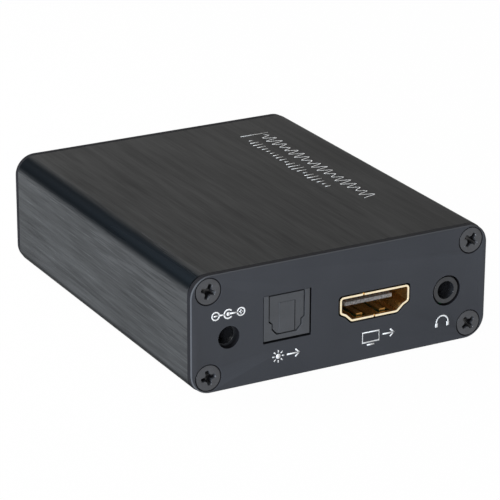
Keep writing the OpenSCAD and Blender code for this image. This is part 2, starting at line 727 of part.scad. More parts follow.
switch_t = 0.25;           // sheet of the switch's frame
switch_y = board_y;
switch_depth = 4;          // depth of the switch behind the panel
switch_rise = switch_h / 2;
slide_w = 5.4;             // width of the sliding block inside the switch
slide_t = 1.1;             // thickness of the sliding block
slide_h = switch_h - 2 * switch_t - 2 * slide_gap;
slide_y = switch_y + switch_t + slide_gap;
slide_room = 0.7;          // room for the wiper behind the sliding block
base_y = slide_y + slide_t + slide_room;
knob_edge = 0.3;           // clearance round the knob in the panel's and frame's slots
knob_slot_w = knob_w + 2 * switch_travel + 2 * knob_edge;
knob_slot_h = knob_h + 2 * knob_edge;
pin_w = 0.5;               // side of the switch's pins
pin_pitch = 2;
frame_leg_w = 1.2;

module frame_legs(g) for (x = [-1, 1])
    translate([x * (switch_w - switch_t) / 2, switch_y + switch_depth / 2, 0])
        leg(switch_t, frame_leg_w, g);

module switch_pins(g) for (i = [-1.5 : 1.5])
    translate([i * pin_pitch, switch_y + switch_depth - pin_w, 0]) leg(pin_w, pin_w, g);

// A sheet box round the switch, open at its back and bottom, with a slot for the knob
module switch_frame() color([0.75, 0.76, 0.78]) at_input(switch_x) {
    difference() {
        block(switch_w, switch_y, switch_depth, 0, switch_h);
        block(switch_w - 2 * switch_t, switch_y + switch_t, switch_depth, switch_t,
            switch_h - 2 * switch_t);
        block(knob_slot_w, switch_y - over, switch_t + 2 * over, switch_rise - knob_slot_h / 2,
            knob_slot_h);
        block(switch_w - 2 * switch_t, base_y, switch_depth, -over, switch_h / 2);
    }
    frame_legs(0);
}

// The insulating base with its four pins
module switch_base() color([0.12, 0.1, 0.08]) at_input(switch_x) {
    block(switch_w - 2 * switch_t - 2 * slide_gap, base_y, switch_y + switch_depth - base_y,
        0, switch_h - switch_t - slide_gap);
    switch_pins(0);
}

module switch_knob() color([0.07, 0.07, 0.08]) at_input(switch_x) {
    block(slide_w, slide_y, slide_t, switch_t + slide_gap, slide_h);
    block(knob_w, knob_back, slide_y - knob_back, switch_rise - knob_h / 2, knob_h);
}

wiper_t = 0.15;            // sheet of the wiper
wiper_w_share = 0.8;       // width of the wiper, as a share of the sliding block's
wiper_flat_share = 0.25;   // start of each bow's flat top, as a share of half the width

// A bowed strip carried on the back of the sliding block
module switch_wiper() color([0.85, 0.75, 0.45]) at_input(switch_x)
    translate([0, slide_y + slide_t, switch_rise - knob_h / 2]) linear_extrude(knob_h)
        let (w = wiper_w_share * slide_w / 2, rise = slide_room - slide_gap)
        polygon([[-w, 0], [w, 0], [w / 2, rise], [wiper_flat_share * w, rise],
            [w / 2, wiper_t], [-w / 2, wiper_t], [-wiper_flat_share * w, rise],
            [-w / 2, rise]]);

lamp_rise = 2.9;           // height of the lamp's middle above the board
lamp_len = 3.6;            // length of the lamp's round body
lamp_front = 0.25;         // setback of the lamp's dome behind the panel's face
lamp_base = 2.6;           // side of the lamp's block

module power_lamp() color([0.75, 0.1, 0.08]) at_input(lamp_x) {
    translate([0, lamp_front + lamp_r, lamp_rise]) {
        rod(0, lamp_len, lamp_r);
        sphere(lamp_r);
    }
    block(lamp_base, lamp_front + lamp_r + lamp_len, lamp_base, 0, lamp_rise + lamp_base / 2);
}

// Parts on the board

// Each place is given as shares of the board's width and of the case's depth
module on_board(shares)
    translate([shares[0] * board_w, shares[1] * case_d, board_top]) children();

chip_t = 1.1;              // height of the flat chips
pin_t = 0.2;               // thickness of the chips' pins
chip_pin_w = 0.28;
chip_pin_pitch = 0.8;
chip_pin_reach = 1;        // reach of the chips' pins
foot_gap = 0.1;            // room below a chip

// A flat chip with n pins along each of the given sides
module chip(w, len, n, sides) {
    translate([-w / 2, -len / 2, foot_gap]) cube([w, len, chip_t]);
    for (a = sides, i = [0 : n - 1]) rotate([0, 0, a])
        translate([(i - (n - 1) / 2) * chip_pin_pitch, a % 180 == 0 ? len / 2 : w / 2, 0]) {
            block(chip_pin_w, 0, chip_pin_reach, 0, pin_t);
            block(chip_pin_w, -pin_t, 2 * pin_t, 0, chip_t / 2);
        }
}

video_chip_shares = [0.06, -0.02];
module video_chip() color([0.04, 0.04, 0.05]) on_board(video_chip_shares)
    chip(video_chip_w, video_chip_w, floor(video_chip_w / chip_pin_pitch) - 2, [0, 90, 180, 270]);

audio_chip_w = 4;
audio_chip_shares = [0.33, -0.12];
module audio_chip() color([0.04, 0.04, 0.05]) on_board(audio_chip_shares)
    chip(audio_chip_len, audio_chip_w, floor(audio_chip_len / chip_pin_pitch) - 1, [0, 180]);

reg_w = 6.5;               // width of the voltage regulator
reg_len = 3.5;
reg_t = 1.6;
reg_tab = 3;               // width of its heat tab
reg_pitch = 2.3;
reg_shares = [-0.36, 0.02];
module voltage_regulator() color([0.04, 0.04, 0.05]) on_board(reg_shares) {
    block(reg_w, -reg_len / 2, reg_len, foot_gap, reg_t);
    block(reg_tab, reg_len / 2 - pin_t, chip_pin_reach + pin_t, 0, 2 * pin_t);
    for (i = [-1 : 1]) translate([i * reg_pitch, 0, 0])
        block(2 * chip_pin_w, -reg_len / 2 - chip_pin_reach, chip_pin_reach + pin_t, 0, 2 * pin_t);
}

crystal_w = 3.2;           // width of the crystal's can
crystal_h = 3.3;
crystal_rim = 0.5;         // rim round its foot
crystal_end_r = 1.2;       // radius of the can's ends
crystal_shares = [0.3, 0.1];
module crystal() color([0.8, 0.8, 0.82]) on_board(crystal_shares) {
    linear_extrude(crystal_rim) rounded_rect(crystal_len + 2 * crystal_rim,
        crystal_w + 2 * crystal_rim, crystal_end_r + crystal_rim);
    linear_extrude(crystal_h) rounded_rect(crystal_len, crystal_w, crystal_end_r);
}

can_base = 0.9;            // height of a capacitor's plastic foot
can_shares = [[-0.36, -0.12], [-0.36, 0.17], [-0.22, 0.17], [0.15, -0.17]];
module filter_capacitors() color([0.7, 0.7, 0.72]) for (shares = can_shares)
    on_board(shares) {
        translate([-can_r, -can_r, 0]) cube([2 * can_r, 2 * can_r, can_base]);
        cylinder(h = can_h, r = can_r);
    }

coil_h = 2.8;              // height of the power inductor
coil_cut = 1;              // its bevelled corners
coil_shares = [-0.22, 0];
module power_inductor() color([0.15, 0.15, 0.16]) on_board(coil_shares)
    linear_extrude(coil_h) polygon([for (a = [0 : 90 : 270], s = [-1, 1])
        let (p = [coil_w / 2, s * (coil_w / 2 - coil_cut)])
        [p[0] * cos(a) - p[1] * sin(a), p[0] * sin(a) + p[1] * cos(a)]]);

bit_w = 0.8;               // width, length and height of a small component
bit_len = 1.6;
bit_h = 0.5;
bit_pitch = 2.2;
// Rows of small components: place, and below the number in each row and its turn
bit_shares = [[-0.1, -0.15], [-0.1, 0.12], [0.2, 0.14], [0.42, 0], [-0.45, 0.05], [0.06, 0.14]];
bit_rows = [[5, 0], [5, 0], [4, 90], [5, 90], [3, 90], [5, 0]];
module small_components() color([0.45, 0.35, 0.25]) for (i = [0 : len(bit_rows) - 1])
    on_board(bit_shares[i]) rotate([0, 0, bit_rows[i][1]]) for (k = [0 : bit_rows[i][0] - 1])
        translate([(k - (bit_rows[i][0] - 1) / 2) * bit_pitch, 0, 0])
            block(bit_w, -bit_len / 2, bit_len, 0, bit_h);

sleeve();
port_panel();
input_panel();
port_panel_screws();
input_panel_screws();
circuit_board();
video_out_shell();
video_out_insert();
video_out_contacts();
video_in_shell();
video_in_insert();
video_in_contacts();
optical_housing();
optical_shutter();
shutter_spring();
optical_emitter();
power_jack_body();
power_jack_pin();
power_jack_spring();
audio_jack_body();
audio_jack_contacts();
switch_frame();
switch_base();
switch_knob();
switch_wiper();
power_lamp();
video_chip();
audio_chip();
voltage_regulator();
crystal();
filter_capacitors();
power_inductor();
small_components();
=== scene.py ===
# %% [markdown]
# # A small audio extractor in a brushed aluminium sleeve
# The box takes the sound out of a video signal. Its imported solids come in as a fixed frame, and
# this lesson dresses them: rounded edges, screws, printed signs, and a finish for every material.
# Everything is in metres; X runs along the two panels, Y from the port panel to the back, Z up.

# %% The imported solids
import json
import math

import bmesh
import bpy
import numpy as np
from mathutils import Matrix, Vector


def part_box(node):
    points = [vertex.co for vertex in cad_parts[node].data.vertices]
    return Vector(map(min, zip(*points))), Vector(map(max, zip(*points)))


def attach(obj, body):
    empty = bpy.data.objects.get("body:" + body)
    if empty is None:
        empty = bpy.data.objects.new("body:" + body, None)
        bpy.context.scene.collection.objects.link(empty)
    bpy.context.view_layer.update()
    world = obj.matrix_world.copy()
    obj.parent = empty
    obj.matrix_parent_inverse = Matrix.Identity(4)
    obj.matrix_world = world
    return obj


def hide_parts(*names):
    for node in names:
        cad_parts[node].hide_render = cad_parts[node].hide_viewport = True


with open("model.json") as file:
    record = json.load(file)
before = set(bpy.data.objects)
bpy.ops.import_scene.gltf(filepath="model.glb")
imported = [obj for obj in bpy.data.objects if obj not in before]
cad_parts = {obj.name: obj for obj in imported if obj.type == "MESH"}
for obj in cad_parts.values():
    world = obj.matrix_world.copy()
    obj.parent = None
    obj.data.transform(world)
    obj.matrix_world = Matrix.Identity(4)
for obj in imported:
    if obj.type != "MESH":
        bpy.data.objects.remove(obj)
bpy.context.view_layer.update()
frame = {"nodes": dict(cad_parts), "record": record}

MM = 0.001

# %% [markdown]
# The case's main sizes come from the solids themselves, so that a pattern that follows the
# case's edges stays on them if the solids change.

# %% Sizes that the finishes and the signs are placed by
low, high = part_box("sleeve")
panel_low, panel_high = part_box("port_panel")
back_low, back_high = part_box("input_panel")
WIDTH, HEIGHT = high.x - low.x, high.z - low.z
FRONT, BACK = panel_low.y, back_high.y
CORNER = 3.75 * MM
print("width, height, depth in mm:", round(WIDTH / MM, 2), round(HEIGHT / MM, 2),
      round((BACK - FRONT) / MM, 2))

# %% [markdown]
# The camera stands where the photographer stood, to the left of the port panel and above it.
# A direction and a distance from a target give its place; the target is moved a little in the
# picture's plane, and the camera is turned about its view by a fraction of a degree. A long
# lens from 52 cm away gives the photograph's weak perspective.

# %% Camera
azimuth, elevation, roll = math.radians(-28.700), math.radians(20.883), math.radians(0.243)
distance, slide_right, slide_up = 517.899 * MM, -1.399 * MM, 1.439 * MM
sensor, lens = 36.0, 189.27

backward = Vector((math.sin(azimuth) * math.cos(elevation),
                   -math.cos(azimuth) * math.cos(elevation), math.sin(elevation)))
level = Vector((0, 0, 1)).cross(backward).normalized()
upright = backward.cross(level)
right = level * math.cos(roll) + upright * math.sin(roll)
up = upright * math.cos(roll) - level * math.sin(roll)
target = Vector((0, 0, HEIGHT / 2)) - right * slide_right - up * slide_up

camera = bpy.data.objects.new("camera", bpy.data.cameras.new("camera"))
camera.data.sensor_width, camera.data.lens = sensor, lens
camera.data.clip_start, camera.data.clip_end = 0.01, 20.0
place = Matrix((right, up, backward)).transposed().to_4x4()
place.translation = target + backward * distance
camera.matrix_world = place
bpy.context.scene.collection.objects.link(camera)
bpy.context.scene.camera = camera
bpy.context.scene.view_settings.view_transform = "Standard"
print("camera at", [round(v, 4) for v in place.translation])

# %% [markdown]
# A material here is a small tree of nodes. One helper adds a node, sets its options, and either
# fills its sockets with values or links them to other nodes, so that each finish reads as a
# short recipe.

# %% Node helpers
def put(tree, kind, sockets=None, **options):
    """Adds one node to the tree: options are the node's own settings, and sockets its inputs."""
    made = tree.nodes.new("ShaderNode" + kind)
    for key, value in options.items():
        setattr(made, key, value)
    for key, value in (sockets or {}).items():
        if isinstance(value, bpy.types.NodeSocket):
            tree.links.new(value, made.inputs[key])
        else:
            made.inputs[key].default_value = value
    return made


def plain(name, colour, roughness=0.5, **shader_sockets):
    """Makes a material and sets its Principled shader's sockets: material, tree, shader."""
    made = bpy.data.materials.new(name)
    made.use_nodes = True
    shader = made.node_tree.nodes["Principled BSDF"]
    shader.inputs["Base Color"].default_value = (*colour, 1)
    shader.inputs["Roughness"].default_value = roughness
    for key, value in shader_sockets.items():
        shader.inputs[key.replace("_", " ")].default_value = value
    return made, made.node_tree, shader


def ramp(tree, factor, stops):
    """A colour ramp through stops, each a place from 0 to 1 and a colour."""
    made = put(tree, "ValToRGB", {"Fac": factor})
    while len(made.color_ramp.elements) < len(stops):
        made.color_ramp.elements.new(0.5)
    for element, (at, colour) in zip(made.color_ramp.elements, stops):
        element.position, element.color = at, (*colour, 1)
    return made.outputs["Color"]


def spread(tree, value, low, high, start=0.0, end=1.0):
    """Carries value from the range start..end to the range low..high."""
    return put(tree, "MapRange", {"Value": value, "From Min": start, "From Max": end,
                                  "To Min": low, "To Max": high}).outputs["Result"]


def math_of(tree, operation, a, b=0.0):
    """One sum of two values."""
    return put(tree, "Math", {0: a, 1: b}, operation=operation).outputs[0]


def average(tree, a, b, share=0.5):
    """The mean of two values, where the first one counts for the share and the second the rest."""
    return math_of(tree, "ADD", math_of(tree, "MULTIPLY", a, share),
                   math_of(tree, "MULTIPLY", b, 1 - share))


def mix_colours(tree, share, first, second):
    """Goes from the first colour to the second as the share goes from 0 to 1."""
    return put(tree, "Mix", {0: share, 6: first, 7: second}, data_type="RGBA").outputs[2]


def noise(tree, coords, size, detail=3.0, stretch=(1, 1, 1)):
    """A noise whose grains are about size mm across, drawn out by stretch along X, Y and Z."""
    scale = tuple(1 / s for s in stretch)
    turned = put(tree, "Mapping", {"Vector": coords, "Scale": scale}).outputs["Vector"]
    made = put(tree, "TexNoise", {"Vector": turned, "Scale": 1 / (size * MM), "Detail": detail})
    return made.outputs["Fac"]

# %% [markdown]
# Most of the small pieces need the same kind of finish: a colour that drifts a little, a fine
# grain that breaks up the gloss, and the same grain as a shallow relief. One recipe does them
# all; only the numbers differ from plastic to steel.

# %% A grained finish
def grained(name, dark, light, roughness, size=0.3, depth=0.004, patches=4.0, **shader_sockets):
    """Colour from dark to light over patches mm, roughness and relief from grains of size mm."""
    made, tree, shader = plain(name, light, **shader_sockets)
    coords = put(tree, "TexCoord").outputs["Object"]
    fine, broad = noise(tree, coords, size), noise(tree, coords, patches, 2.0)
    tone = average(tree, fine, broad)
    colour = ramp(tree, tone, [(0.35, dark), (0.65, light)])
    tree.links.new(colour, shader.inputs["Base Color"])
    rough = spread(tree, fine, roughness[0], roughness[1], 0.3, 0.7)
    tree.links.new(rough, shader.inputs["Roughness"])
    relief = put(tree, "Bump", {"Height": fine, "Distance": depth * MM, "Strength": 1.0})
    tree.links.new(relief.outputs["Normal"], shader.inputs["Normal"])
    return made

# %% [markdown]
# The sleeve is an aluminium extrusion, brushed along its length and dyed black. The brush only
# touched the flat faces, so the rounded edges between them are smoother; their colour is also
# painted darker, as painted shade for the dark band that the light leaves on them. Two noises,
# drawn out many times along Y, give the fine and the broad streaks. The rounded edges are
# found from the place alone: a point is on one where it is past the flat part in X and in Z.

# %% Brushed black sleeve
def past_the_flats(tree, axes):
    """How far a point lies past the flat part in X and in Z: less than 0 on the flat part."""
    past_x = math_of(tree, "SUBTRACT", math_of(tree, "ABSOLUTE", axes["X"]), WIDTH / 2 - CORNER)
    off_middle = math_of(tree, "SUBTRACT", axes["Z"], HEIGHT / 2)
    past_z = math_of(tree, "SUBTRACT", math_of(tree, "ABSOLUTE", off_middle), HEIGHT / 2 - CORNER)
    return past_x, past_z


def brushed_black():
    """Streaks run along Y; the edge mask is the lesser of the overshoots in X and in Z, and paints
    shade on the rounded edges.
    """
    made, tree, shader = plain("brushed_black", (0.05, 0.05, 0.052), Metallic=0.2,
                               Specular_IOR_Level=0.02, Specular_Tint=(0.2, 0.2, 0.2, 1))
    coords = put(tree, "TexCoord").outputs["Object"]
    fine = noise(tree, coords, 0.3, 3.0, (1, 28, 1))
    broad = noise(tree, coords, 1.3, 2.0, (1, 16, 1))
    drift = noise(tree, coords, 25.0, 1.0)
    tone = average(tree, average(tree, fine, broad, 0.6), drift, 0.85)
    flat = ramp(tree, tone, [(0.32, (0.028, 0.028, 0.028)), (0.68, (0.069, 0.069, 0.0683))])
    axes = put(tree, "SeparateXYZ", {"Vector": coords}).outputs
    past = math_of(tree, "MINIMUM", *past_the_flats(tree, axes))
    edge = put(tree, "MapRange", {"Value": past, "From Min": 0.3 * MM, "From Max": 2.0 * MM},
               interpolation_type="SMOOTHSTEP").outputs["Result"]
    # Painted shade: the rounded edges get a near-black colour for the dark band the light leaves
    # there.
    colour = mix_colours(tree, edge, flat, (0.010, 0.0125, 0.0150, 1))
    tree.links.new(colour, shader.inputs["Base Color"])
    rough_flat = spread(tree, fine, 0.38, 0.55, 0.3, 0.7)
    rough = put(tree, "Mix", {0: edge, 2: rough_flat, 3: 0.32}).outputs[0]
    tree.links.new(rough, shader.inputs["Roughness"])
    tree.links.new(spread(tree, edge, 0.2, 0.75), shader.inputs["Metallic"])
    strength = spread(tree, edge, 0.5, 0.04)
    relief = put(tree, "Bump", {"Height": fine, "Distance": 0.012 * MM, "Strength": strength})
    tree.links.new(relief.outputs["Normal"], shader.inputs["Normal"])
    return made

# %% [markdown]
# The two end plates are blasted and dyed a matt blue-grey. Their cut edges, the countersinks and
# the walls of the openings are painted nearly black, as painted shade, while the narrow bevel
# round the outline is painted lighter, as a painted highlight. Depth behind the outer face finds
# what is cut, and the distance to the plate's rounded outline finds the bevel: the longer of the
# two overshoots past the corner's centre, or their hypotenuse where both are positive, less the
# corner's radius.

# %% Matt grey panels
def matt_grey():
    """Face, then a painted highlight on the bevel near the outline, then painted shade, nearly
    black, wherever it was cut.
    """
    made, tree, shader = plain("matt_grey", (0.05, 0.054, 0.062), Specular_IOR_Level=0.03)
    coords = put(tree, "TexCoord").outputs["Object"]
    fine, broad = noise(tree, coords, 0.12, 2.0), noise(tree, coords, 9.0, 2.0)
    tone = average(tree, fine, broad)
    face = ramp(tree, tone, [(0.3, (0.0500, 0.0525, 0.059)), (0.7, (0.0580, 0.0605, 0.068))])
    axes = put(tree, "SeparateXYZ", {"Vector": coords}).outputs
    depth = math_of(tree, "SUBTRACT", BACK, math_of(tree, "ABSOLUTE", axes["Y"]))
    past_x, past_z = past_the_flats(tree, axes)
    corner = put(tree, "CombineXYZ", {"X": math_of(tree, "MAXIMUM", past_x, 0.0),
                                      "Y": math_of(tree, "MAXIMUM", past_z, 0.0)})
    reach = put(tree, "VectorMath", {0: corner.outputs[0]}, operation="LENGTH").outputs["Value"]
    near_outline = spread(tree, reach, 0.0, 1.0, CORNER - 0.45 * MM, CORNER - 0.40 * MM)
    cut = spread(tree, depth, 0.0, 1.0, 0.03 * MM, 0.08 * MM)
    deep = spread(tree, depth, 0.0, 1.0, 0.19 * MM, 0.25 * MM)
    bevel = math_of(tree, "MULTIPLY", near_outline, spread(tree, deep, 1.0, 0.0))
    # Painted highlight on the bevel and painted shade, nearly black, on the cut walls and
    # countersinks.
    painted_shade_and_highlight = mix_colours(tree, bevel, (0.012, 0.012, 0.014, 1), (0.088, 0.090, 0.096, 1))
    colour = mix_colours(tree, cut, face, painted_shade_and_highlight)
    tree.links.new(colour, shader.inputs["Base Color"])
    rough = spread(tree, fine, 0.5, 0.62, 0.3, 0.7)
    tree.links.new(rough, shader.inputs["Roughness"])
    relief = put(tree, "Bump", {"Height": fine, "Distance": 0.006 * MM, "Strength": 0.5})
    tree.links.new(relief.outputs["Normal"], shader.inputs["Normal"])
    return made

# %% [markdown]
# The circuit board's green lacquer lies over copper tracks. A pattern of cells, drawn out along
# Y, stands for the tracks: they are lifted a little, and the green is lighter over the copper.

# %% Green circuit board
def green_board():
    """A track is where a point is far enough from the middle of its cell."""
    made, tree, shader = plain("green_board", (0.01, 0.11, 0.05), 0.32, Specular_IOR_Level=0.5)
    coords = put(tree, "TexCoord").outputs["Object"]
    turned = put(tree, "Mapping", {"Vector": coords, "Scale": (1.0, 0.35, 1.0)})
    cells = put(tree, "TexVoronoi", {"Vector": turned.outputs["Vector"], "Scale": 700.0},
                distance="MANHATTAN").outputs["Distance"]
    tracks = spread(tree, cells, 0.0, 1.0, 0.38, 0.46)
    fine = noise(tree, coords, 0.4)
    lacquer = ramp(tree, fine, [(0.3, (0.004, 0.060, 0.028)), (0.7, (0.006, 0.080, 0.036))])
    colour = mix_colours(tree, tracks, lacquer, (0.012, 0.135, 0.060, 1))
    tree.links.new(colour, shader.inputs["Base Color"])
    relief = put(tree, "Bump", {"Height": tracks, "Distance": 0.03 * MM, "Strength": 0.6})
    tree.links.new(relief.outputs["Normal"], shader.inputs["Normal"])
    return made

# %% [markdown]
# Two finishes get painted shade with the depth behind a panel's face: the cross in a black screw
# is painted darker than its head, and the gold of a socket is pale on its rim and painted browner
# and darker inside. The depth is how far the point's Y falls short of the panels' outer faces.

# %% Painted shade deeper behind the faces
def painted_shade_inside(made, reach, shade_colour):
    """Paints shade: carries the colour to the given dark colour over the given reach, in mm behind
    the panels' faces.
    """
    tree = made.node_tree
    shader = tree.nodes["Principled BSDF"]
    coords = put(tree, "TexCoord").outputs["Object"]
    along = put(tree, "SeparateXYZ", {"Vector": coords}).outputs["Y"]
    depth = math_of(tree, "SUBTRACT", BACK, math_of(tree, "ABSOLUTE", along))
    share = spread(tree, depth, 0.0, 1.0, reach[0] * MM, reach[1] * MM)
    outside = shader.inputs["Base Color"].links[0].from_socket
    # The deeper colour is painted shade.
    colour = mix_colours(tree, share, outside, (*shade_colour, 1))
    tree.links.new(colour, shader.inputs["Base Color"])
    return made

# %% [markdown]
# Now each material slot of the record gets its finish. Bare metals have Metallic at 1 and take
# their colour as the colour of their reflections. Plastics, lacquer and blackened steel have it
# at 0, and the dyed sleeve lies between.

# %% The finishes, by material slot
finishes = {
    "sleeve_aluminium": brushed_black(),
    "panel_aluminium": matt_grey(),
    "green_board": green_board(),
    # Painted shade: the screw's cross turns near black deeper than 0.15 mm.
    "black_steel": painted_shade_inside(
        grained("oxide_steel", (0.026, 0.027, 0.031), (0.042, 0.044, 0.050),
                (0.26, 0.40), 0.15, 0.004, 1.5, Specular_IOR_Level=0.6),
        (0.15, 0.55), (0.004, 0.004, 0.005)),
    # Painted shade: the gold turns browner and darker deeper inside the sockets.
    "gold_plate": painted_shade_inside(
        grained("gold_plate", (0.92, 0.78, 0.52), (1.0, 0.88, 0.66),
                (0.24, 0.36), 0.25, 0.002, 1.5, Metallic=1.0),
        (0.10, 0.35), (0.72, 0.44, 0.15)),
    "insert_plastic": grained("speckled_grey", (0.05, 0.05, 0.052), (0.34, 0.34, 0.35),
                              (0.5, 0.65), 0.26, 0.004, 0.3),
    "port_plastic": grained("moulded_grey", (0.045, 0.048, 0.0535), (0.057, 0.060, 0.067),
                            (0.34, 0.46), 0.16, 0.005, 3.0, Specular_IOR_Level=0.4),
    "spring_steel": grained("spring_steel", (0.42, 0.42, 0.43), (0.58, 0.58, 0.59),
                            (0.25, 0.4), 0.3, 0.002, 2.0, Metallic=1.0),
    "emitter_resin": grained("smoky_resin", (0.30, 0.30, 0.34), (0.42, 0.42, 0.46),
                             (0.08, 0.16), 0.6, 0.002, 2.0),
    "black_plastic": grained("moulded_black", (0.015, 0.016, 0.019), (0.025, 0.027, 0.031),
                             (0.18, 0.28), 0.2, 0.003, 2.0),
    "tin_plate": grained("tin_plate", (0.50, 0.50, 0.49), (0.66, 0.66, 0.64),
                         (0.28, 0.45), 0.3, 0.002, 1.5, Metallic=1.0),
    "lamp_resin": grained("lamp_resin", (0.45, 0.012, 0.010), (0.62, 0.03, 0.02),
                          (0.08, 0.16), 0.5, 0.002, 1.5),
    "chip_resin": grained("chip_resin", (0.010, 0.010, 0.012), (0.022, 0.022, 0.025),
                          (0.55, 0.7), 0.12, 0.006, 2.0),
    "can_aluminium": grained("can_aluminium", (0.58, 0.58, 0.60), (0.72, 0.72, 0.74),
                             (0.25, 0.38), 0.3, 0.002, 2.0, Metallic=1.0),
    "ferrite": grained("ferrite", (0.022, 0.022, 0.024), (0.04, 0.04, 0.043),
                       (0.55, 0.7), 0.15, 0.008, 1.5),
    "ceramic": grained("ceramic", (0.20, 0.14, 0.08), (0.34, 0.25, 0.15),
                       (0.35, 0.5), 0.3, 0.003, 1.6),
}
slot_of = {part["node"]: part["material_slot"] for part in frame["record"]["subparts"]}
for name, thing in frame["nodes"].items():
    thing.data.materials.clear()
    thing.data.materials.append(finishes[slot_of[name]])
print("finishes:", len(finishes))

# %% [markdown]
# Real edges are never perfectly sharp: a narrow rounding is what catches the light. The solids
# that show are copied, their loose triangles are merged into clean faces, and the Bevel
# modifier rounds every edge where the surface turns by more than 30 degrees. The copy then
# stands for the node, and the solid itself stays as it is.

# %% Rounded copies of the solids
body_of = {node: body for body, nodes in frame["record"]["behaviour"]["bodies"].items()
           for node in nodes}
SHARP, FLAT = math.radians(30), math.radians(0.3)
MERGE = 0.0005 * MM


def rounded(name, radius):
    """A merged copy of the node with edges rounded to radius mm, riding on the node's body."""
    mesh = frame["nodes"][name].data.copy()
    work = bmesh.new()
    work.from_mesh(mesh)
    bmesh.ops.remove_doubles(work, verts=work.verts, dist=MERGE)
    bmesh.ops.dissolve_limit(work, angle_limit=FLAT, verts=work.verts, edges=work.edges)
    work.to_mesh(mesh)
    work.free()
    made = bpy.data.objects.new(name + "_rounded", mesh)
    bpy.context.scene.collection.objects.link(made)
    mesh.shade_smooth()
    mesh.set_sharp_from_angle(angle=SHARP)
    bevel = made.modifiers.new("edges", "BEVEL")
    bevel.width, bevel.segments = radius * MM, 2
    bevel.limit_method, bevel.angle_limit = "ANGLE", SHARP
    bevel.use_clamp_overlap, bevel.harden_normals = True, True
    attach(made, body_of[name])
    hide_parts(name)
    return made


edge_radii = {"sleeve": 0.12, "port_panel": 0.05, "input_panel": 0.05,
              "video_out_shell": 0.09, "video_in_shell": 0.09,
              "optical_housing": 0.10, "optical_shutter": 0.06,
              "power_jack_body": 0.2, "audio_jack_body": 0.16,
              "switch_frame": 0.05, "switch_knob": 0.12}
for name, radius in edge_radii.items():
    piece = rounded(name, radius)
    print(piece.name, len(piece.data.polygons), "faces before rounding")

# %% [markdown]
# A screw's head is a surface over its own disc: the height falls away at the rounded rim and
# drops into the cross-shaped recess. The recess is deepest where a point is near either of the
# two crossed axes and near the middle, and its walls slope, as the punch that formed it does.
# The same grid of rings goes on down the countersink and the shank to a closed tip.

# %% Screws with a cross recess
def screw_surface(turn, rings=34, around=96):
    """Rings of points (X, depth, Z) in mm about the axis: face, rim, countersink, shank, tip."""
    head, shank, cone, length, tip = 2.48, 1.5, 1.1, 8.0, 0.02
    rim, dome_drop, recess_depth = 0.04, 0.09, 1.3
    angle = np.linspace(0, 2 * np.pi, around, endpoint=False)[None, :]
    radius = (np.linspace(0.02, 1, rings) * (head - rim))[:, None]
    x, z = radius * np.cos(angle), radius * np.sin(angle)
    t = math.radians(turn)
    a, b = x * math.cos(t) + z * math.sin(t), z * math.cos(t) - x * math.sin(t)

    def wing(along, across):
        """Depth of one wing: full in its narrow middle, sloping out to its end and sides."""
        half_width, side_slope, half_length, end_slope = 0.42, 0.22, 1.5, 0.75
        side = np.clip((half_width - np.abs(across)) / side_slope, 0, 1)
        end = np.clip((half_length - np.abs(along)) / end_slope, 0, 1)
        return side * end ** 0.8

    hub_radius, hub_slope, hub_share = 0.85, 0.35, 0.9
    hub = np.clip((hub_radius - np.hypot(a, b)) / hub_slope, 0, 1) * hub_share
    recess = recess_depth * np.maximum(np.maximum(wing(a, b), wing(b, a)), hub)
    dome = dome_drop * (radius / head) ** 12
    face = np.stack([x, dome + recess, z], -1)
    below = [(head, dome_drop + rim), (head, 0.2), (shank + 0.05, cone), (shank, cone + 0.1),
             (shank, length - 0.4), (shank - 0.35, length), (tip, length)]
    rest = np.array([[r * np.cos(angle[0]), np.full(around, d), r * np.sin(angle[0])]
                     for r, d in below]).transpose(0, 2, 1)
    return np.concatenate([face, rest])


def closed_rings(points):
    """Faces of a grid closed round its second axis, with a fan at each end, turned outward."""
    rows, columns = points.shape[:2]
    i, j = np.arange(rows - 1)[:, None], np.arange(columns)[None, :]
    k = (j + 1) % columns
    quads = np.stack([i * columns + j, i * columns + k, (i + 1) * columns + k,
                      (i + 1) * columns + j], -1).reshape(-1, 4)
    first, last = list(range(columns))[::-1], [(rows - 1) * columns + c for c in range(columns)]
    return quads.tolist() + [first, last]


def piece_of(name, vertices, faces, body, slot):
    """Makes the mesh and its object, gives it the slot's finish, and lets it ride on the body."""
    mesh = bpy.data.meshes.new(name)
    mesh.from_pydata(vertices.tolist(), [], faces)
    work = bmesh.new()
    work.from_mesh(mesh)
    bmesh.ops.recalc_face_normals(work, faces=work.faces)
    work.to_mesh(mesh)
    work.free()
    mesh.shade_smooth()
    mesh.set_sharp_from_angle(angle=SHARP)
    mesh.materials.append(finishes[slot])
    made = bpy.data.objects.new(name, mesh)
    bpy.context.scene.collection.objects.link(made)
    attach(made, body)
    return made


screw_x, screw_low, screw_high, sink = 28.0, 3.07, 19.93, 0.03
screw_places = [(-screw_x, screw_low), (screw_x, screw_low), (-screw_x, screw_high),
                (screw_x, screw_high)]
for node, wall, inward, turns in (("port_panel_screws", FRONT, 1, (12, 38, 71, 55)),
                                  ("input_panel_screws", BACK, -1, (33, 80, 5, 47))):
    points, faces = [], []
    for (x, z), turn in zip(screw_places, turns):
        one = screw_surface(turn)
        offset = sum(len(p) for p in points)
        faces += [[v + offset for v in face] for face in closed_rings(one)]
        one = one.reshape(-1, 3) * (inward, inward, 1) + (x, inward * sink, z)
        points.append(one * MM + (0, wall, 0))
    made = piece_of(node + "_turned", np.concatenate(points), faces, "root", "black_steel")
    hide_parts(node)
    print(made.name, len(made.data.polygons), "faces")
